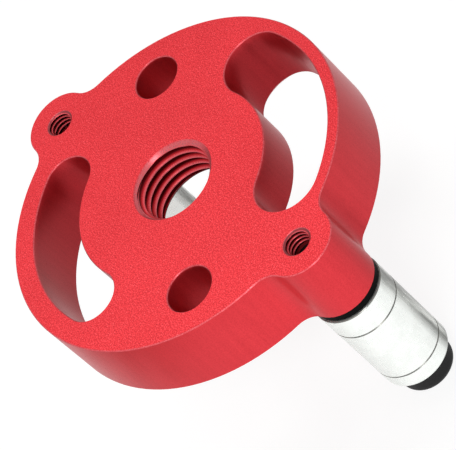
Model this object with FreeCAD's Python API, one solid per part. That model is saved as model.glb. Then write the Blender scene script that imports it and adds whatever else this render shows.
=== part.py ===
import FreeCAD, Part
import math
import os

# Self centering doweling jig: a round body with two ears, a roller post hanging under each ear, and
# eight screw-in drill bushes that stand beside it on the level of the post heads.
# The jig is in its working position. The origin is on the axis of the central thread, at the level
# of the body's underside. X runs through the two ears and Z points away from the board that is drilled.
# Lengths are in millimetres, angles in degrees.

Vec = FreeCAD.Vector
UP = Vec(0, 0, 1)

# ---- body -----------------------------------------------------------------------------------
DISC_DIAMETER = 76.0
BODY_THICKNESS = 15.5
EAR_DIAMETER = 15.0
EAR_OVERHANG = 1.0              # from the disc's edge out to the ear's centre
EAR_FILLET = 5.0                # hollow fillet between an ear and the disc
EDGE_CHAMFER = 0.2

THREAD_DIAMETER = 18.0          # central thread that takes the bushes, M18 x 2
THREAD_PITCH = 2.0
THREAD_MOUTH_CHAMFER = 0.2
WEB_THICKNESS = 10.6            # left round the central thread by the recess in the underside
RECESS_LAND = 0.8               # between the recess and the nearest point of a plain hole

WINDOW_A_WIDTH = 14.2           # window a, next to ear a, is the wider one
WINDOW_A_RIM = 2.6              # wall between the window and the disc's edge
WINDOW_B_WIDTH = 11.0
WINDOW_B_RIM = 4.65
WINDOW_START = 20.3             # centre of the round end, measured from the ear axis
WINDOW_END = 91.2
WINDOW_LOWER_CHAMFER = 1.1

SIGHT_HOLE_DIAMETER = 10.0
SIGHT_HOLE_RIM = 4.7            # wall between a plain hole and the disc's edge
SIGHT_HOLE_ANGLE = -37.6

# ---- roller posts ---------------------------------------------------------------------------
SCREW_THREAD = 6.0              # M6
SCREW_TIP_DEPTH = 4.2           # the tip ends this far below the body's top face
SCREW_TIP_CHAMFER = 0.7
SHOULDER_DIAMETER = 8.0
HEAD_DIAMETER = 12.0
HEAD_HEIGHT = 5.5
HEAD_ROUNDING = 2.0
HEX_KEY = 5.0                   # across flats
HEX_DEPTH = 3.0

WASHER_DIAMETER = 14.4
WASHER_THICKNESS = 1.8

ROLLER_DIAMETER = 15.0
UPPER_COLLAR_WIDTH = 5.8
SLEEVE_LENGTH = 15.8
LOWER_COLLAR_WIDTH = 4.1
COLLAR_ROUNDING = 0.8           # at the roller's lower end
SPIGOT_DIAMETER = 12.0          # part of a collar that is pressed into the sleeve
SPIGOT_LENGTH = 4.0

RUNNING_CLEARANCE = 0.05        # between a collar's bore and the screw's shoulder, on the radius
END_PLAY = 0.05                 # at each end of a roller
THREAD_CLEARANCE = 0.05         # between a male thread and its hole, on the radius

# ---- drill bushes ---------------------------------------------------------------------------
BUSH_DRILLS = [3, 4, 5, 6, 7, 8, 10, 12]
DRILL_CLEARANCE = 0.05          # between a drill and its bush, on the radius
BUSH_HEAD_DIAMETER = 22.0
BUSH_HEAD_HEIGHT = 13.2
BUSH_HEAD_CHAMFER = 0.6
BUSH_NECK_DIAMETER = 15.4       # undercut between the head and the thread, as deep as the thread
BUSH_NECK_LENGTH = 2.0
BUSH_THREAD_TURNS = 4
BUSH_NOSE_LENGTH = 3.4          # plain end of the stem, chamfer included
BUSH_NOSE_CHAMFER = 1.9
BUSH_MOUTH_CHAMFER = 0.4

# ---- cutting and sorting --------------------------------------------------------------------
OVERCUT = 1.0                   # a cutting solid reaches this far past the face that it opens
SAME_LEVEL = 1e-6

# ---- where the bushes stand -----------------------------------------------------------------
BUSH_COLUMNS = 4
BUSH_SPACING = 25.0
BUSH_SHIFT = 2.5                # of the block's middle along X
BUSH_GAP = 33.5                 # from the disc's edge to the heads of the nearer row

disc_radius = DISC_DIAMETER / 2
ear_radius = EAR_DIAMETER / 2
post_radius = disc_radius + EAR_OVERHANG
sight_hole_radius = disc_radius - SIGHT_HOLE_RIM - SIGHT_HOLE_DIAMETER / 2
recess_radius = sight_hole_radius - SIGHT_HOLE_DIAMETER / 2 - RECESS_LAND
bush_distance = disc_radius + BUSH_GAP + BUSH_HEAD_DIAMETER / 2
thread_radius = THREAD_DIAMETER / 2
screw_radius = SCREW_THREAD / 2
recess_depth = BODY_THICKNESS - WEB_THICKNESS

# Levels of the post, from the underside of the ear downwards.
shoulder_top = -WASHER_THICKNESS
roller_top = shoulder_top - END_PLAY
sleeve_top = roller_top - UPPER_COLLAR_WIDTH
sleeve_bottom = sleeve_top - SLEEVE_LENGTH
roller_bottom = sleeve_bottom - LOWER_COLLAR_WIDTH
head_top = roller_bottom - END_PLAY
bench = head_top - HEAD_HEIGHT


# ---- helpers --------------------------------------------------------------------------------
def disk(radius, bottom, top, x=0.0, y=0.0):
    """Upright cylinder between two levels."""
    return Part.makeCylinder(radius, top - bottom, Vec(x, y, bottom))


def turned(profile, x=0.0):
    """Solid of revolution about the upright axis at x; the profile is a list of (radius, z)."""
    points = [Vec(x + radius, 0, z) for radius, z in profile]
    face = Part.Face(Part.makePolygon(points + points[:1]))
    return face.revolve(Vec(x, 0, 0), UP, 360)


def polar(radius, angle):
    """Point in plan, as x and y."""
    return radius * math.cos(math.radians(angle)), radius * math.sin(math.radians(angle))


def half_turn(shape):
    """The same shape on the opposite side of the jig's axis."""
    return shape.copy().rotate(Vec(0, 0, 0), UP, 180)


def level_edges(shape, level):
    """All edges of a shape that lie in one level."""
    return [
        edge for edge in shape.Edges
        if abs(edge.BoundBox.ZMin - level) < SAME_LEVEL and abs(edge.BoundBox.ZMax - level) < SAME_LEVEL
    ]


def save(name, shape):
    shape.exportStep("parts/" + name + ".step")


# ---- body -----------------------------------------------------------------------------------
def neck(side, up):
    """Web with one hollow fillet, between the disc and one flank of an ear."""
    disc_leg = disc_radius + EAR_FILLET
    ear_leg = ear_radius + EAR_FILLET
    across = (disc_leg**2 - ear_leg**2 + post_radius**2) / (2 * post_radius)
    rise = math.sqrt(disc_leg**2 - across**2)
    centre = Vec(side * across, up * rise, 0)
    corners = [Vec(0, 0, 0), Vec(side * post_radius, 0, 0), centre, Vec(0, 0, 0)]
    web = Part.Face(Part.makePolygon(corners)).extrude(UP * BODY_THICKNESS)
    return web.cut(disk(EAR_FILLET, -OVERCUT, BODY_THICKNESS + OVERCUT, centre.x, centre.y))


def window(width, rim, bottom, top, grow=0.0):
    """Curved window as a solid: part of a ring with round ends, wider all round by grow."""
    line = disc_radius - rim - width / 2
    half = width / 2 + grow
    inner = line - half
    outer = line + half

    def at(radius, angle, ahead=0.0):
        x, y = polar(radius, angle)
        ahead_x, ahead_y = polar(ahead, angle + 90)
        return Vec(x + ahead_x, y + ahead_y, bottom)

    middle = (WINDOW_START + WINDOW_END) / 2
    arcs = [
        (at(inner, WINDOW_START), at(inner, middle), at(inner, WINDOW_END)),
        (at(inner, WINDOW_END), at(line, WINDOW_END, half), at(outer, WINDOW_END)),
        (at(outer, WINDOW_END), at(outer, middle), at(outer, WINDOW_START)),
        (at(outer, WINDOW_START), at(line, WINDOW_START, -half), at(inner, WINDOW_START)),
    ]
    wire = Part.Wire([Part.Arc(*arc).toShape() for arc in arcs])
    return Part.Face(wire).extrude(UP * (top - bottom))


def make_window_cutter(width, rim):
    """Window right through the body, with its two broken edges."""
    below = window(width, rim, -OVERCUT, WINDOW_LOWER_CHAMFER, WINDOW_LOWER_CHAMFER)
    below = below.makeChamfer(WINDOW_LOWER_CHAMFER, level_edges(below, WINDOW_LOWER_CHAMFER))
    chamfer_start = BODY_THICKNESS - EDGE_CHAMFER
    above = window(width, rim, chamfer_start, BODY_THICKNESS + OVERCUT, EDGE_CHAMFER)
    above = above.makeChamfer(EDGE_CHAMFER, level_edges(above, chamfer_start))
    return window(width, rim, -OVERCUT, BODY_THICKNESS + OVERCUT).fuse([below, above])


def make_hole_cutter(radius, bottom, chamfer, lower_chamfer):
    """Round hole from a lower level up through the top face, with both mouths countersunk."""
    face = BODY_THICKNESS
    return turned([
        (0, bottom - OVERCUT),
        (radius + lower_chamfer, bottom - OVERCUT),
        (radius + lower_chamfer, bottom),
        (radius, bottom + lower_chamfer),
        (radius, face - chamfer),
        (radius + chamfer, face),
        (radius + chamfer, face + OVERCUT),
        (0, face + OVERCUT),
    ])


def make_body():
    body = disk(disc_radius, 0, BODY_THICKNESS)
    for side in (1, -1):
        body = body.fuse(disk(ear_radius, 0, BODY_THICKNESS, side * post_radius))
        for up in (1, -1):
            body = body.fuse(neck(side, up))
    body = body.removeSplitter()
    body = body.makeChamfer(EDGE_CHAMFER, level_edges(body, 0) + level_edges(body, BODY_THICKNESS))
    body = body.cut(disk(recess_radius, -OVERCUT, recess_depth))

    cutters = [
        make_window_cutter(WINDOW_A_WIDTH, WINDOW_A_RIM),
        half_turn(make_window_cutter(WINDOW_B_WIDTH, WINDOW_B_RIM)),
    ]
    cutters.append(make_hole_cutter(thread_radius, recess_depth, THREAD_MOUTH_CHAMFER, EDGE_CHAMFER))
    sight_hole = make_hole_cutter(SIGHT_HOLE_DIAMETER / 2, 0, EDGE_CHAMFER, EDGE_CHAMFER)
    ear_hole = make_hole_cutter(screw_radius, 0, EDGE_CHAMFER / 2, EDGE_CHAMFER)
    for side in (1, -1):
        sight_x, sight_y = polar(side * sight_hole_radius, SIGHT_HOLE_ANGLE)
        cutters.append(sight_hole.translated(Vec(sight_x, sight_y, 0)))
        cutters.append(ear_hole.translated(Vec(side * post_radius, 0, 0)))
    return body.cut(cutters)


# ---- roller post, built under the ear on the +X side ------------------------------------------
def make_shoulder_screw():
    """Screw that hangs from the ear: M6 thread, plain shoulder, round-edged head with a hex socket."""
    shank = screw_radius - THREAD_CLEARANCE
    shoulder = SHOULDER_DIAMETER / 2
    tip = BODY_THICKNESS - SCREW_TIP_DEPTH
    head = disk(HEAD_DIAMETER / 2, bench, head_top, post_radius)
    head = head.makeFillet(HEAD_ROUNDING, level_edges(head, bench))
    stem = turned([
        (0, head_top - HEAD_HEIGHT / 2),
        (shoulder, head_top - HEAD_HEIGHT / 2),
        (shoulder, shoulder_top),
        (shank, shoulder_top),
        (shank, tip - SCREW_TIP_CHAMFER),
        (shank - SCREW_TIP_CHAMFER, tip),
        (0, tip),
    ], post_radius)
    corners = []
    for corner in range(7):
        x, y = polar(HEX_KEY / math.sqrt(3), 60 * corner)
        corners.append(Vec(post_radius + x, y, bench))
    socket = Part.Face(Part.makePolygon(corners)).extrude(UP * HEX_DEPTH)
    return head.fuse(stem).removeSplitter().cut(socket)


def make_washer():
    washer = disk(WASHER_DIAMETER / 2, shoulder_top, 0, post_radius)
    washer = washer.makeChamfer(EDGE_CHAMFER, level_edges(washer, 0) + level_edges(washer, shoulder_top))
    return washer.cut(disk(screw_radius, shoulder_top - OVERCUT, OVERCUT, post_radius))


def make_collar(flange_bottom, flange_top, spigot_end, rounded_below=False):
    """Flanged bearing bush: its spigot goes from the flange, inside the sleeve, to spigot_end."""
    flange = disk(ROLLER_DIAMETER / 2, flange_bottom, flange_top, post_radius)
    flange = flange.makeChamfer(EDGE_CHAMFER, level_edges(flange, flange_top))
    lower_edge = level_edges(flange, flange_bottom)
    if rounded_below:
        flange = flange.makeFillet(COLLAR_ROUNDING, lower_edge)
    else:
        flange = flange.makeChamfer(EDGE_CHAMFER, lower_edge)
    middle = (flange_bottom + flange_top) / 2
    spigot = disk(SPIGOT_DIAMETER / 2, min(middle, spigot_end), max(middle, spigot_end), post_radius)
    bore = SHOULDER_DIAMETER / 2 + RUNNING_CLEARANCE
    return flange.fuse(spigot).removeSplitter().cut(disk(bore, head_top, 0, post_radius))


def make_sleeve():
    sleeve = disk(ROLLER_DIAMETER / 2, sleeve_bottom, sleeve_top, post_radius)
    ends = level_edges(sleeve, sleeve_bottom) + level_edges(sleeve, sleeve_top)
    sleeve = sleeve.makeChamfer(EDGE_CHAMFER, ends)
    return sleeve.cut(disk(SPIGOT_DIAMETER / 2, sleeve_bottom - OVERCUT, sleeve_top + OVERCUT, post_radius))


def make_post():
    """Every piece of one post by name."""
    return {
        "shoulder_screw": make_shoulder_screw(),
        "spacer_washer": make_washer(),
        "upper_collar": make_collar(sleeve_top, roller_top, sleeve_top - SPIGOT_LENGTH),
        "roller_sleeve": make_sleeve(),
        "lower_collar": make_collar(roller_bottom, sleeve_bottom, sleeve_bottom + SPIGOT_LENGTH, True),
    }


# ---- drill bushes ---------------------------------------------------------------------------
def thread_ridges(root, crest, start):
    """Points of the thread's ridges, each turn drawn as one ring with a sharp crest."""
    points = []
    for turn in range(BUSH_THREAD_TURNS):
        foot = start + turn * THREAD_PITCH
        points += [(root, foot), (crest, foot + THREAD_PITCH / 2)]
    return points


def make_bush(drill):
    """Bush standing on its head, from the level z = 0 upwards."""
    bore = drill / 2 + DRILL_CLEARANCE
    head = BUSH_HEAD_DIAMETER / 2
    neck_radius = BUSH_NECK_DIAMETER / 2
    stem = thread_radius - THREAD_CLEARANCE
    thread_start = BUSH_HEAD_HEIGHT + BUSH_NECK_LENGTH
    thread_end = thread_start + BUSH_THREAD_TURNS * THREAD_PITCH
    top = thread_end + BUSH_NOSE_LENGTH
    return turned([
        (bore + BUSH_MOUTH_CHAMFER, 0),
        (head - BUSH_HEAD_CHAMFER, 0),
        (head, BUSH_HEAD_CHAMFER),
        (head, BUSH_HEAD_HEIGHT - BUSH_HEAD_CHAMFER),
        (head - BUSH_HEAD_CHAMFER, BUSH_HEAD_HEIGHT),
        (neck_radius, BUSH_HEAD_HEIGHT),
        *thread_ridges(neck_radius, stem, thread_start),
        (neck_radius, thread_end),
        (stem, thread_end),
        (stem, top - BUSH_NOSE_CHAMFER),
        (stem - BUSH_NOSE_CHAMFER, top),
        (bore + BUSH_MOUTH_CHAMFER, top),
        (bore, top - BUSH_MOUTH_CHAMFER),
        (bore, BUSH_MOUTH_CHAMFER),
    ])


def bush_place(index):
    """Foot of a bush: rows across X, the smaller drills in the nearer row."""
    row, column = divmod(index, BUSH_COLUMNS)
    x = BUSH_SHIFT + (column - (BUSH_COLUMNS - 1) / 2) * BUSH_SPACING
    return Vec(x, -bush_distance - row * BUSH_SPACING, bench)


# ---- build ----------------------------------------------------------------------------------
os.makedirs("parts", exist_ok=True)

save("jig_body", make_body())

for piece, shape in make_post().items():
    save(piece + "_a", shape)
    save(piece + "_b", half_turn(shape))

for index, drill in enumerate(BUSH_DRILLS):
    save("drill_bush_%02d" % drill, make_bush(drill).translated(bush_place(index)))
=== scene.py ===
import bpy
import math
from mathutils import Matrix, Vector


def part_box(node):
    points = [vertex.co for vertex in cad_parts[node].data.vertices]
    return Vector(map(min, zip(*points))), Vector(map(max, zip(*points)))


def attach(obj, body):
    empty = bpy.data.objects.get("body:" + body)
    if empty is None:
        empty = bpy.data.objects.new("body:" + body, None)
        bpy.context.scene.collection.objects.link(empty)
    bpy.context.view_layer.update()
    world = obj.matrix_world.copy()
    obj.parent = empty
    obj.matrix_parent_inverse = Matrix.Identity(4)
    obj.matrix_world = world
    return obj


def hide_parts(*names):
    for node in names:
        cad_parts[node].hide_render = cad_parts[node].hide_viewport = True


# Looks of the self centering doweling jig. Lengths are in metres, in the frame of the CAD part:
# origin on the axis of the central thread at the body's underside, Z up, X through the ears.

MM = 0.001
TURN = 2 * math.pi

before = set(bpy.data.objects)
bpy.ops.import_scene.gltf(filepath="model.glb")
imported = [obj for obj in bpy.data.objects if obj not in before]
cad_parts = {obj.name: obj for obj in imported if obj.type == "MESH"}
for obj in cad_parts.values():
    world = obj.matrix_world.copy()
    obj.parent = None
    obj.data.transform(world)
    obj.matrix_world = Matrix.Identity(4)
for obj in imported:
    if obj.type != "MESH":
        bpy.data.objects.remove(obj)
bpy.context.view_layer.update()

# ---- sizes of the jig -----------------------------------------------------------------------
TOP_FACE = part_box("jig_body")[1].z
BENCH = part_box("drill_bush_03")[0].z      # level of the bushes' undersides and the post heads
POSTS = {"a": 1, "b": -1}                 # side of each post along X
POST_RADIUS = 39.0 * MM                   # from the central axis to a post's axis
WEB_THICKNESS = 10.6 * MM                 # from the body's top face down to the recess
ROLLER_RADIUS = 7.5 * MM
SCREW_TIP_DEPTH = 4.2 * MM                # from the body's top face down to the screw's tip

# start: the helix's first angle. mouth: the countersink's reach beyond the major radius.
# cone: its slope through the ridges, radius over depth. shine: the painted highlight's share in the
# mouth's colour.
# flank, groove: colours that darken into the thread's roots as painted shade
CENTRE_THREAD = {
    "major": 9.0 * MM, "minor": 7.9 * MM, "pitch": 2.0 * MM,
    "start": math.radians(-60), "mouth": 0.2 * MM, "cone": 1.0, "shine": 0.7,
    "flank": (0.70, 0.024, 0.034), "groove": (0.10, 0.001, 0.003),
}
EAR_THREAD = {
    "major": 3.0 * MM, "minor": 2.46 * MM, "pitch": 1.0 * MM,
    "start": 0.0, "mouth": 0.1 * MM, "cone": 2.2, "shine": 0.25,
    "flank": (0.30, 0.008, 0.012), "groove": (0.02, 0.0, 0.001),
}
THREAD_ROOT = 0.12                        # shares of the pitch that are flat
THREAD_CREST = 0.16
THREAD_ROWS = 16                          # rows of faces in one pitch
THREAD_STEPS = 128                        # faces round a turn
THREAD_GAP = 0.01 * MM                    # between the ridges' skin and the wall of the hole

# ---- sizes of the drill bushes --------------------------------------------------------------
BUSH_DRILLS = [3, 4, 5, 6, 7, 8, 10, 12]
YELLOWED_BUSH = 5
DRILL_CLEARANCE = 0.05 * MM
BUSH_HEAD_RADIUS = 11.0 * MM
BUSH_HEAD_HEIGHT = 13.2 * MM
BUSH_HEAD_CHAMFER = 0.6 * MM
BUSH_NECK_RADIUS = 7.7 * MM
BUSH_NECK_LENGTH = 2.0 * MM
BUSH_NECK_CHAMFER = 0.3 * MM              # in the corner between neck and head
BUSH_STEM_LENGTH = 13.4 * MM
BUSH_NOSE_ROUNDING = 1.9 * MM
BUSH_NOSE_ARCS = 4                        # faces across the rounding
BUSH_NOSE_LENGTH = 3.4 * MM               # plain part above the thread, rounding included
BUSH_NOSE_STEP = 0.1 * MM                 # from the thread's end to the nose's full radius
BUSH_MOUTH_CHAMFER = 0.4 * MM
BUSH_THREAD = {"major": 8.93 * MM, "minor": 7.75 * MM, "pitch": 2.0 * MM}
BUSH_RUN_OUT = 1.0 * MM                   # height over which the thread rises to the nose
BUSH_RUN_SLOPE = 1.2                      # radius over height, where the thread starts and ends

KNURL_TEETH = 48
KNURL_DEPTH = 0.32 * MM
KNURL_SLANT = math.radians(32)            # of the grooves, from the bush's axis
KNURL_ROWS = 40                           # rows of faces over the knurl's height
BUSH_STEPS = 4 * KNURL_TEETH              # faces round a turn

SHARP_ANGLE = math.radians(35)
BUSH_SHARP_ANGLE = math.radians(28)

# ---- surroundings: the floor and the room look white to the camera and light the part less ----
FLOOR_REACH = 6.0                         # from the origin to each edge
FLOOR_GAP = 0.05 * MM                     # below the feet
FLOOR_SHADE = 0.22
FLOOR_GLOW = 0.88                         # near the part; it rises to 1 where the lamps don't reach
FLOOR_NEAR = 0.15
FLOOR_FAR = 0.60
ROOM_LIGHT = 0.06
DOME_RADIUS = 0.75
LAMPS = [                                 # name, azimuth, elevation, size in metres, power in watts
    ("key", 180, 65, 0.40, 2.75),
    ("slant", -20, 45, 0.20, 1.1),
    ("front", -38, 2, 0.10, 3.0),
    ("side", 0, 2, 0.10, 2.5),
]

# ---- the photograph's camera ------------------------------------------------------------------
CAMERA_PLACE = Vector((427.27, -77.98, 379.77)) * MM
CAMERA_RIGHT = Vector((0.602, 0.576, -0.553))
CAMERA_UP = Vector((-0.305, 0.806, 0.506))
CAMERA_NEAREST = 0.01
SENSOR_WIDTH = 36.0
PHOTO_WIDTH = 456                         # in pixels, as the focal length below it
FOCAL_LENGTH = 2920.87 / PHOTO_WIDTH * SENSOR_WIDTH


# ---- meshes ---------------------------------------------------------------------------------
def mesh_object(name, vertices, faces, sharp_angle=SHARP_ANGLE):
    mesh = bpy.data.meshes.new(name)
    mesh.from_pydata(vertices, [], faces)
    mesh.validate()
    mesh.update()
    obj = bpy.data.objects.new(name, mesh)
    bpy.context.scene.collection.objects.link(obj)
    for polygon in mesh.polygons:
        polygon.use_smooth = True
    mesh.set_sharp_from_angle(angle=sharp_angle)
    return obj


def ring_faces(rings, steps, closed=False):
    """Quads between rings of vertices that follow each other."""
    faces = []
    last = rings if closed else rings - 1
    for ring in range(last):
        here, there = ring * steps, (ring + 1) % rings * steps
        for step in range(steps):
            after = (step + 1) % steps
            faces.append((here + step, here + after, there + after, there + step))
    return faces


def thread_form(phase):
    """Height of a thread ridge, 0 to 1, over one pitch: flat root, flank, flat crest, flank."""
    away = abs((phase % 1.0) - 0.5) * 2
    return min(1.0, max(0.0, (1.0 - away - THREAD_ROOT) / (1.0 - THREAD_ROOT - THREAD_CREST)))


def helix_rings(bottom, top, pitch, steps, radius_at, start=0.0):
    """Rings of (radius, angle, z) that follow a helix. Beyond the ends they close up on the end levels."""
    rings = []
    first = -THREAD_ROWS
    last = math.ceil((top - bottom) / pitch) * THREAD_ROWS + 1
    for row in range(first, last):
        ring = []
        for step in range(steps):
            lead = step / steps
            z = bottom + (row / THREAD_ROWS + lead) * pitch
            z = min(max(z, bottom), top)
            phase = (z - bottom) / pitch - lead
            ring.append((radius_at(z, phase), start + TURN * lead, z))
        rings.append(ring)
    return rings


def to_vertices(rings, x=0.0, y=0.0):
    return [(x + r * math.cos(a), y + r * math.sin(a), z) for ring in rings for r, a, z in ring]


def inner_thread(name, thread, bottom, top, x=0.0):
    """Ridges inside a hole; the countersunk mouth cuts into them."""
    wall = thread["major"] - THREAD_GAP
    mouth = thread["mouth"]

    def radius_at(z, phase):
        ridge = wall - (thread["major"] - thread["minor"]) * thread_form(phase)
        upper_cone = wall + (mouth - (top - z)) * thread["cone"]
        lower_cone = wall + (mouth - (z - bottom)) * thread["cone"]
        return min(wall, max(ridge, upper_cone, lower_cone))

    rings = helix_rings(bottom, top - mouth, thread["pitch"], THREAD_STEPS, radius_at, thread["start"])
    faces = [tuple(reversed(face)) for face in ring_faces(len(rings), THREAD_STEPS)]
    return mesh_object(name, to_vertices(rings, x), faces)


def knurl_cut(angle, height):
    """Depth of the two crossing sets of grooves in a bush's head."""
    along = height * math.tan(KNURL_SLANT) * KNURL_TEETH / (TURN * BUSH_HEAD_RADIUS)
    around = angle / TURN * KNURL_TEETH
    deepest = 0.0
    for phase in (around + along, around - along):
        deepest = max(deepest, 1.0 - abs((phase % 1.0) * 2 - 1.0))
    return KNURL_DEPTH * deepest


def bush_detail(name, drill, x, y):
    """Drill bush on its knurled head, with its real thread, as one closed skin."""
    bore = drill / 2 * MM + DRILL_CLEARANCE
    nose = BUSH_THREAD["major"]
    root = BUSH_THREAD["minor"]
    neck_top = BUSH_HEAD_HEIGHT + BUSH_NECK_LENGTH
    top = BUSH_HEAD_HEIGHT + BUSH_STEM_LENGTH
    thread_top = top - BUSH_NOSE_LENGTH
    knurl_low = BUSH_HEAD_CHAMFER
    knurl_high = BUSH_HEAD_HEIGHT - BUSH_HEAD_CHAMFER

    def plain(radius, z):
        return [(radius, TURN * step / BUSH_STEPS, BENCH + z) for step in range(BUSH_STEPS)]

    def thread_radius(z, phase):
        height = z - BENCH
        ridge = root + (nose - root) * thread_form(phase)
        run_in = BUSH_NECK_RADIUS + (height - neck_top) * BUSH_RUN_SLOPE
        run_out = root + max(0.0, BUSH_RUN_OUT - (thread_top - height)) * BUSH_RUN_SLOPE
        return min(nose, max(min(ridge, run_in), min(nose, run_out)))

    rings = [
        plain(bore + BUSH_MOUTH_CHAMFER, 0),
        plain(BUSH_HEAD_RADIUS - BUSH_HEAD_CHAMFER, 0),
    ]
    for row in range(KNURL_ROWS + 1):
        z = knurl_low + (knurl_high - knurl_low) * row / KNURL_ROWS
        ring = []
        for step in range(BUSH_STEPS):
            angle = TURN * step / BUSH_STEPS
            ring.append((BUSH_HEAD_RADIUS - knurl_cut(angle, z - knurl_low), angle, BENCH + z))
        rings.append(ring)
    rings += [
        plain(BUSH_HEAD_RADIUS - BUSH_HEAD_CHAMFER, BUSH_HEAD_HEIGHT),
        plain(BUSH_NECK_RADIUS + BUSH_NECK_CHAMFER, BUSH_HEAD_HEIGHT),
        plain(BUSH_NECK_RADIUS, BUSH_HEAD_HEIGHT + BUSH_NECK_CHAMFER),
    ]
    pitch = BUSH_THREAD["pitch"]
    rings += helix_rings(BENCH + neck_top, BENCH + thread_top, pitch, BUSH_STEPS, thread_radius)
    rings += [
        plain(nose, thread_top + BUSH_NOSE_STEP),
        plain(nose, top - BUSH_NOSE_ROUNDING),
    ]
    for arc in range(1, BUSH_NOSE_ARCS + 1):
        turn = arc / BUSH_NOSE_ARCS * math.pi / 2
        rings.append(plain(
            nose - BUSH_NOSE_ROUNDING * (1 - math.cos(turn)),
            top - BUSH_NOSE_ROUNDING * (1 - math.sin(turn)),
        ))
    rings += [
        plain(bore + BUSH_MOUTH_CHAMFER, top),
        plain(bore, top - BUSH_MOUTH_CHAMFER),
        plain(bore, BUSH_MOUTH_CHAMFER),
    ]
    faces = ring_faces(len(rings), BUSH_STEPS, closed=True)
    return mesh_object(name, to_vertices(rings, x, y), faces, BUSH_SHARP_ANGLE)


# ---- materials ------------------------------------------------------------------------------
WHITE = (1.0, 1.0, 1.0)
BLASTED_GRAIN = {"scale": 3800.0, "detail": 3.0, "roughness": 0.7}
OXIDE_GRAIN = {"scale": 3600.0, "detail": 3.0, "roughness": 0.7}
LATHE_RINGS = (40.0, 40.0, 5200.0)        # a stretched noise's scales along X, Y and Z
MILLED_MARKS = (1100.0, 1100.0, 45.0)
ROLLER_MOTTLE = (420.0, 420.0, 70.0)

NICKEL = (0.56, 0.51, 0.46)
YELLOWED_NICKEL = (0.58, 0.50, 0.36)
# colour of the painted shade in the bushes' grooves
GROOVE_SHADE = (0.10, 0.085, 0.07)
OXIDE_SHADE = 0.012
# the washer's grey, darker than the screw's as painted shade of the gap under the ear
WASHER_SHADOWED_GREY = 0.003


def grey(shade):
    return (shade, shade, shade)


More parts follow.
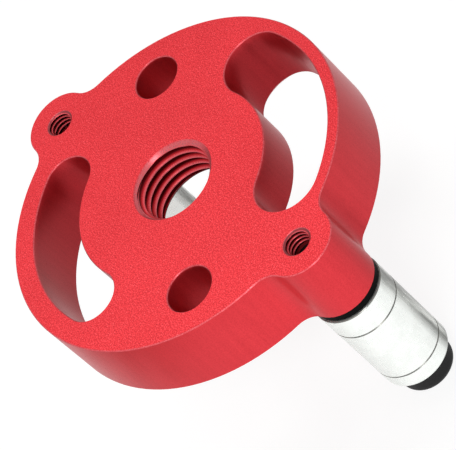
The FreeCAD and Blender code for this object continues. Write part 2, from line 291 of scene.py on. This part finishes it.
class Surface:
    """A Principled material whose colour, roughness and bump come from nodes in the part's own frame."""

    def __init__(self, name, metallic, roughness):
        self.material = bpy.data.materials.new(name)
        self.material.use_nodes = True
        self.nodes = self.material.node_tree.nodes
        self.links = self.material.node_tree.links
        self.shader = self.nodes["Principled BSDF"]
        self.shader.inputs["Metallic"].default_value = metallic
        self.shader.inputs["Roughness"].default_value = roughness
        self.place = self.nodes.new("ShaderNodeTexCoord").outputs["Object"]

    def noise(self, scale, detail=2.0, vector=None, roughness=0.5):
        node = self.nodes.new("ShaderNodeTexNoise")
        node.inputs["Scale"].default_value = scale
        node.inputs["Detail"].default_value = detail
        node.inputs["Roughness"].default_value = roughness
        self.links.new(vector or self.place, node.inputs["Vector"])
        return node.outputs["Fac"]

    def stretched_noise(self, scales, detail=2.0, roughness=0.5):
        """Noise with its own scale along each axis."""
        mapping = self.nodes.new("ShaderNodeMapping")
        mapping.inputs["Scale"].default_value = scales
        self.links.new(self.place, mapping.inputs["Vector"])
        return self.noise(1.0, detail, mapping.outputs["Vector"], roughness)

    def ramp(self, factor, stops):
        node = self.nodes.new("ShaderNodeValToRGB")
        elements = node.color_ramp.elements
        for index, (at, colour) in enumerate(stops):
            element = elements[index] if index < 2 else elements.new(at)
            element.position = at
            element.color = (*colour, 1.0)
        self.links.new(factor, node.inputs["Fac"])
        return node.outputs["Color"]

    def plain(self, colour):
        node = self.nodes.new("ShaderNodeRGB")
        node.outputs["Color"].default_value = (*colour, 1.0)
        return node.outputs["Color"]

    def mix(self, factor, first, second, blend="MIX"):
        node = self.nodes.new("ShaderNodeMix")
        node.data_type = "RGBA"
        node.blend_type = blend
        if isinstance(factor, float):
            node.inputs["Factor"].default_value = factor
        else:
            self.links.new(factor, node.inputs["Factor"])
        self.links.new(first, node.inputs["A"])
        self.links.new(second, node.inputs["B"])
        return node.outputs["Result"]

    def times(self, first, second):
        return self.mix(1.0, first, second, "MULTIPLY")

    def share(self, value, at_none, at_full):
        """Number taken from its own range to 0..1."""
        node = self.nodes.new("ShaderNodeMapRange")
        node.inputs["From Min"].default_value = at_none
        node.inputs["From Max"].default_value = at_full
        self.links.new(value, node.inputs["Value"])
        return node.outputs["Result"]

    def span(self, noise, low, high):
        """A noise's middle half taken to a range of numbers."""
        node = self.nodes.new("ShaderNodeMapRange")
        node.inputs["From Min"].default_value = 0.25
        node.inputs["From Max"].default_value = 0.75
        node.inputs["To Min"].default_value = low
        node.inputs["To Max"].default_value = high
        self.links.new(noise, node.inputs["Value"])
        return node.outputs["Result"]

    def along(self, vector, axis):
        """A vector's part along X, Y or Z."""
        split = self.nodes.new("ShaderNodeSeparateXYZ")
        self.links.new(vector, split.inputs[0])
        return split.outputs[axis]

    def steepness(self, stops):
        """Ramp over how level a face is: 0 on the walls, 0.7 on the chamfers, 1 on the level faces."""
        normal = self.nodes.new("ShaderNodeNewGeometry").outputs["True Normal"]
        level = self.nodes.new("ShaderNodeMath")
        level.operation = "ABSOLUTE"
        self.links.new(self.along(normal, "Z"), level.inputs[0])
        return self.ramp(level.outputs[0], [(at, grey(value)) for at, value in stops])

    def above(self, z):
        """0 below the level z, 1 above it."""
        higher = self.nodes.new("ShaderNodeMath")
        higher.operation = "GREATER_THAN"
        self.links.new(self.along(self.place, "Z"), higher.inputs[0])
        higher.inputs[1].default_value = z
        return higher.outputs[0]

    def aside(self, far):
        """0 at the part's middle plane, 1 at the far distance along +Y."""
        return self.share(self.along(self.place, "Y"), 0.0, far)

    def off_axis(self, x, y, near, far):
        """0 at the near radius from the upright axis at x, y, 1 at the far one."""
        mapping = self.nodes.new("ShaderNodeMapping")
        mapping.inputs["Location"].default_value = (-x, -y, 0.0)
        mapping.inputs["Scale"].default_value = (1.0, 1.0, 0.0)
        self.links.new(self.place, mapping.inputs["Vector"])
        radius = self.nodes.new("ShaderNodeVectorMath")
        radius.operation = "LENGTH"
        self.links.new(mapping.outputs["Vector"], radius.inputs[0])
        return self.share(radius.outputs["Value"], near, far)

    def colour(self, output):
        self.links.new(output, self.shader.inputs["Base Color"])

    def rough(self, output):
        self.links.new(output, self.shader.inputs["Roughness"])

    def bump(self, height, strength, distance):
        node = self.nodes.new("ShaderNodeBump")
        node.inputs["Strength"].default_value = strength
        node.inputs["Distance"].default_value = distance
        self.links.new(height, node.inputs["Height"])
        self.links.new(node.outputs["Normal"], self.shader.inputs["Normal"])


def red_surface(name, metallic):
    """What all the red aluminium shares: a weak reflection with a red tint."""
    surface = Surface(name, metallic, roughness=0.30)
    surface.shader.inputs["Specular IOR Level"].default_value = 0.22
    surface.shader.inputs["Specular Tint"].default_value = (1.0, 0.35, 0.38, 1.0)
    return surface


def red_anodised(name):
    """Aluminium dyed red. The level faces are blasted to a sparkling grain, the walls are smoother and
    darker: partly their smoother finish, partly painted shade.
    """
    surface = red_surface(name, metallic=0.27)
    grain = surface.noise(**BLASTED_GRAIN)
    cloud = surface.noise(60.0)
    marks = surface.stretched_noise(MILLED_MARKS)
    blasted = surface.ramp(grain, [
        (0.30, (0.46, 0.012, 0.018)),
        (0.50, (0.80, 0.034, 0.044)),
        (0.62, (0.98, 0.075, 0.090)),
        (0.74, (1.00, 0.240, 0.270)),
    ])
    # walls: the smoother finish's colour, made darker still as painted shade
    smooth_finish_and_shade = surface.ramp(grain, [(0.25, (0.54, 0.026, 0.036)), (0.75, (0.74, 0.050, 0.062))])
    marked = surface.times(smooth_finish_and_shade, surface.ramp(marks, [(0.3, (0.94, 0.90, 0.90)), (0.6, WHITE)]))
    # chamfers: a brighter cut edge, with a painted highlight laid over it
    cut_edge_and_highlight = surface.ramp(grain, [(0.3, (0.74, 0.03, 0.05)), (0.7, (1.00, 0.34, 0.37))])
    tone = surface.ramp(cloud, [(0.3, (0.92, 0.88, 0.88)), (0.7, WHITE)])
    level = surface.steepness([(0.80, 0.0), (0.95, 1.0)])
    chamfer = surface.steepness([(0.55, 0.0), (0.68, 0.45), (0.74, 0.45), (0.85, 0.0)])
    toned = surface.times(surface.mix(level, marked, blasted), tone)
    surface.colour(surface.mix(chamfer, toned, cut_edge_and_highlight))
    surface.rough(surface.mix(level, surface.span(grain, 0.34, 0.26), surface.span(grain, 0.50, 0.38)))
    surface.bump(grain, 0.30, 0.03 * MM)
    return surface.material


def red_thread(name, thread, x):
    """Cut thread, with a painted highlight on the crests and the mouth and painted shade in the grooves.
    """
    surface = red_surface(name, metallic=0.45)
    # painted highlight on the crests, painted shade darkening into the grooves
    crest_highlight_groove_shade = surface.ramp(surface.off_axis(x, 0.0, thread["minor"], thread["major"]), [
        (0.00, (1.00, 0.170, 0.200)),
        (0.10, (0.95, 0.110, 0.130)),
        (0.30, thread["flank"]),
        (0.60, thread["groove"]),
    ])
    # the mouth's cone gets a painted highlight
    mouth_depth = thread["mouth"] + (thread["major"] - thread["minor"]) / thread["cone"]
    sloping = surface.steepness([(0.50, 0.0), (0.66, thread["shine"])])
    mouth = surface.times(surface.above(TOP_FACE - mouth_depth), sloping)
    grain = surface.noise(**BLASTED_GRAIN)
    cut_edge_and_highlight = surface.ramp(grain, [(0.3, (1.00, 0.11, 0.13)), (0.7, (1.00, 0.30, 0.33))])
    surface.colour(surface.mix(mouth, crest_highlight_groove_shade, cut_edge_and_highlight))
    surface.rough(surface.span(grain, 0.34, 0.24))
    surface.bump(grain, 0.15, 0.02 * MM)
    return surface.material


def turned_nickel(name, x, y, light):
    """Turned, nickel plated steel of a bush on the upright axis at x, y, with painted shade darkening its
    thread grooves and the knurl's valleys.
    """
    surface = Surface(name, metallic=1.0, roughness=0.28)
    rings = surface.stretched_noise(LATHE_RINGS, 3.0)
    patches = surface.noise(240.0, 4.0, roughness=0.6)
    middle = tuple(0.6 * shade for shade in light)
    # painted shade: darker towards the thread's roots and in the knurl's valleys
    radial_groove_shade = surface.ramp(surface.off_axis(x, y, BUSH_NECK_RADIUS, BUSH_HEAD_RADIUS), [
        (0.00, GROOVE_SHADE),
        (0.12, middle),
        (0.34, light),
        (0.88, light),
        (0.91, GROOVE_SHADE),                  # painted shade at the bottom of the knurl
        (0.97, light),
    ])
    level = surface.steepness([(0.60, 0.0), (0.90, 1.0)])
    plating = surface.ramp(patches, [(0.32, (0.78, 0.76, 0.74)), (0.62, WHITE)])
    surface.colour(surface.times(surface.mix(level, radial_groove_shade, surface.plain(light)), plating))
    surface.rough(surface.span(patches, 0.22, 0.34))
    surface.bump(rings, 0.25, 0.02 * MM)
    return surface.material


def zinc_plated(name):
    """Bright plated steel with dark joint grooves, and a mottled grey streak of painted shade along its +Y
    flank.
    """
    surface = Surface(name, metallic=0.65, roughness=0.28)
    rings = surface.stretched_noise(LATHE_RINGS, 3.0)
    fine = surface.noise(420.0, 4.0, roughness=0.6)
    mottle = surface.stretched_noise(ROLLER_MOTTLE, 4.0, roughness=0.65)
    plated = surface.ramp(fine, [(0.3, (0.88, 0.91, 0.88)), (0.6, (0.93, 0.96, 0.93))])
    bright_mottle = surface.ramp(mottle, [(0.30, grey(0.95)), (0.55, WHITE)])
    # painted shade: a mottled grey streak along the +Y flank
    flank_shade_streak = surface.ramp(mottle, [
        (0.32, (0.12, 0.12, 0.11)),
        (0.50, (0.34, 0.34, 0.33)),
        (0.68, (0.80, 0.80, 0.78)),
    ])
    # where the painted shade lies: towards +Y, easing off at the very edge
    flank = surface.ramp(surface.aside(ROLLER_RADIUS), [
        (0.40, grey(0.0)),
        (0.70, grey(1.0)),
        (0.90, grey(1.0)),
        (0.99, grey(0.3)),
    ])
    streaked = surface.times(plated, surface.mix(flank, bright_mottle, flank_shade_streak))
    # the chamfers at the joints are coloured dark
    groove = surface.steepness([(0.50, 0.0), (0.66, 0.9), (0.76, 0.9), (0.90, 0.0)])
    dark_joint = surface.ramp(fine, [(0.3, grey(0.05)), (0.7, (0.16, 0.15, 0.13))])
    surface.colour(surface.mix(groove, streaked, dark_joint))
    surface.rough(surface.span(fine, 0.22, 0.34))
    surface.bump(rings, 0.25, 0.02 * MM)
    return surface.material


def black_oxide(name, shade):
    """Blackened steel with a fine grain. The shade is its level of grey, and sets how much it reflects."""
    surface = Surface(name, metallic=0.0, roughness=0.5)
    surface.shader.inputs["Specular IOR Level"].default_value = 10 * shade
    grain = surface.noise(**OXIDE_GRAIN)
    surface.colour(surface.ramp(grain, [
        (0.3, grey(0.5 * shade)),
        (0.6, grey(shade)),
        (0.8, grey(2.5 * shade)),
    ]))
    surface.rough(surface.span(grain, 0.45, 0.62))
    surface.bump(grain, 0.4, 0.03 * MM)
    return surface.material


def dress(obj, material):
    obj.data.materials.clear()
    obj.data.materials.append(material)


# ---- dressing the part ----------------------------------------------------------------------
red = red_anodised("red_anodised")
zinc = zinc_plated("zinc_steel")
black = black_oxide("black_oxide", OXIDE_SHADE)
# the washer: black oxide made darker as painted shade of the gap under the ear
shaded_washer_black = black_oxide("black_washer", WASHER_SHADOWED_GREY)

dress(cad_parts["jig_body"], red)
for side in POSTS:
    dress(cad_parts["shoulder_screw_" + side], black)
    dress(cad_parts["spacer_washer_" + side], shaded_washer_black)
    for piece in ("upper_collar_", "roller_sleeve_", "lower_collar_"):
        dress(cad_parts[piece + side], zinc)

ridges = inner_thread("centre_thread_ridges", CENTRE_THREAD, TOP_FACE - WEB_THICKNESS, TOP_FACE)
dress(ridges, red_thread("red_centre_thread", CENTRE_THREAD, 0.0))
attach(ridges, "jig")

for side, sign in POSTS.items():
    x = sign * POST_RADIUS
    screw_tip = TOP_FACE - SCREW_TIP_DEPTH
    ridges = inner_thread("ear_thread_ridges_" + side, EAR_THREAD, screw_tip, TOP_FACE, x)
    dress(ridges, red_thread("red_ear_thread_" + side, EAR_THREAD, x))
    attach(ridges, "jig")

for drill in BUSH_DRILLS:
    node = "drill_bush_%02d" % drill
    low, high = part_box(node)
    x, y = (low.x + high.x) / 2, (low.y + high.y) / 2
    bush = bush_detail(node + "_detail", drill, x, y)
    shade = YELLOWED_NICKEL if drill == YELLOWED_BUSH else NICKEL
    dress(bush, turned_nickel("nickel_steel_%02d" % drill, x, y, shade))
    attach(bush, "bush_%02d" % drill)
    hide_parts(node)


# ---- floor, light and camera ------------------------------------------------------------------
def seen_or_light(nodes, links, seen, light):
    """Strength of what the camera sees directly or in a reflection, and of what only lights the part."""
    path = nodes.new("ShaderNodeLightPath")
    direct = path.outputs["Is Camera Ray"]
    for ray in ("Is Glossy Ray", "Is Transmission Ray"):
        either = nodes.new("ShaderNodeMath")
        either.operation = "MAXIMUM"
        links.new(direct, either.inputs[0])
        links.new(path.outputs[ray], either.inputs[1])
        direct = either.outputs[0]
    strength = nodes.new("ShaderNodeMapRange")
    strength.inputs["To Min"].default_value = light
    if isinstance(seen, float):
        strength.inputs["To Max"].default_value = seen
    else:
        links.new(seen, strength.inputs["To Max"])
    links.new(direct, strength.inputs["Value"])
    return strength.outputs["Result"]


def floor_white(nodes, links):
    """The floor's glow by distance from the part."""
    reach = nodes.new("ShaderNodeVectorMath")
    reach.operation = "LENGTH"
    links.new(nodes.new("ShaderNodeTexCoord").outputs["Object"], reach.inputs[0])
    white = nodes.new("ShaderNodeMapRange")
    white.inputs["From Min"].default_value = FLOOR_NEAR
    white.inputs["From Max"].default_value = FLOOR_FAR
    white.inputs["To Min"].default_value = FLOOR_GLOW
    links.new(reach.outputs["Value"], white.inputs["Value"])
    return white.outputs["Result"]


def make_floor():
    """White floor just under the feet, which shows only from above."""
    half = FLOOR_REACH
    z = BENCH - FLOOR_GAP
    corners = [(-half, -half, z), (half, -half, z), (half, half, z), (-half, half, z)]
    floor = mesh_object("floor", corners, [(0, 1, 2, 3)])
    material = bpy.data.materials.new("pale_floor")
    material.use_nodes = True
    nodes, links = material.node_tree.nodes, material.node_tree.links
    nodes.clear()
    diffuse = nodes.new("ShaderNodeBsdfDiffuse")
    diffuse.inputs["Color"].default_value = (*grey(FLOOR_SHADE), 1.0)
    glow = nodes.new("ShaderNodeEmission")
    links.new(seen_or_light(nodes, links, floor_white(nodes, links), 0.0), glow.inputs["Strength"])
    total = nodes.new("ShaderNodeAddShader")
    links.new(diffuse.outputs[0], total.inputs[0])
    links.new(glow.outputs[0], total.inputs[1])
    from_below = nodes.new("ShaderNodeMixShader")
    links.new(nodes.new("ShaderNodeNewGeometry").outputs["Backfacing"], from_below.inputs["Fac"])
    links.new(total.outputs[0], from_below.inputs[1])
    links.new(nodes.new("ShaderNodeBsdfTransparent").outputs[0], from_below.inputs[2])
    links.new(from_below.outputs[0], nodes.new("ShaderNodeOutputMaterial").inputs["Surface"])
    floor.data.materials.append(material)


def make_world():
    world = bpy.data.worlds.new("studio")
    world.use_nodes = True
    nodes, links = world.node_tree.nodes, world.node_tree.links
    background = nodes["Background"]
    background.inputs["Color"].default_value = (*WHITE, 1.0)
    links.new(seen_or_light(nodes, links, 1.0, ROOM_LIGHT), background.inputs["Strength"])
    bpy.context.scene.world = world


def make_lamp(name, azimuth, elevation, size, power):
    """Round area lamp on a dome round the origin, facing it."""
    lamp = bpy.data.lights.new(name, "AREA")
    lamp.shape = "DISK"
    lamp.size = size
    lamp.energy = power
    obj = bpy.data.objects.new(name, lamp)
    level = math.cos(elevation)
    away = Vector((level * math.cos(azimuth), level * math.sin(azimuth), math.sin(elevation)))
    place = away * DOME_RADIUS
    obj.location = place
    obj.rotation_euler = (-place).to_track_quat("-Z", "Y").to_euler()
    bpy.context.scene.collection.objects.link(obj)


def make_camera():
    data = bpy.data.cameras.new("camera")
    data.sensor_width = SENSOR_WIDTH
    data.lens = FOCAL_LENGTH
    data.clip_start = CAMERA_NEAREST
    camera = bpy.data.objects.new("camera", data)
    right = CAMERA_RIGHT.normalized()
    back = right.cross(CAMERA_UP).normalized()
    up = back.cross(right)
    rotation = Matrix((right, up, back)).transposed().to_4x4()
    camera.matrix_world = Matrix.Translation(CAMERA_PLACE) @ rotation
    bpy.context.scene.collection.objects.link(camera)
    bpy.context.scene.camera = camera


make_floor()
make_world()
for name, azimuth, elevation, size, power in LAMPS:
    make_lamp(name, math.radians(azimuth), math.radians(elevation), size, power)
make_camera()

view_settings = bpy.context.scene.view_settings
view_settings.view_transform = "Standard"
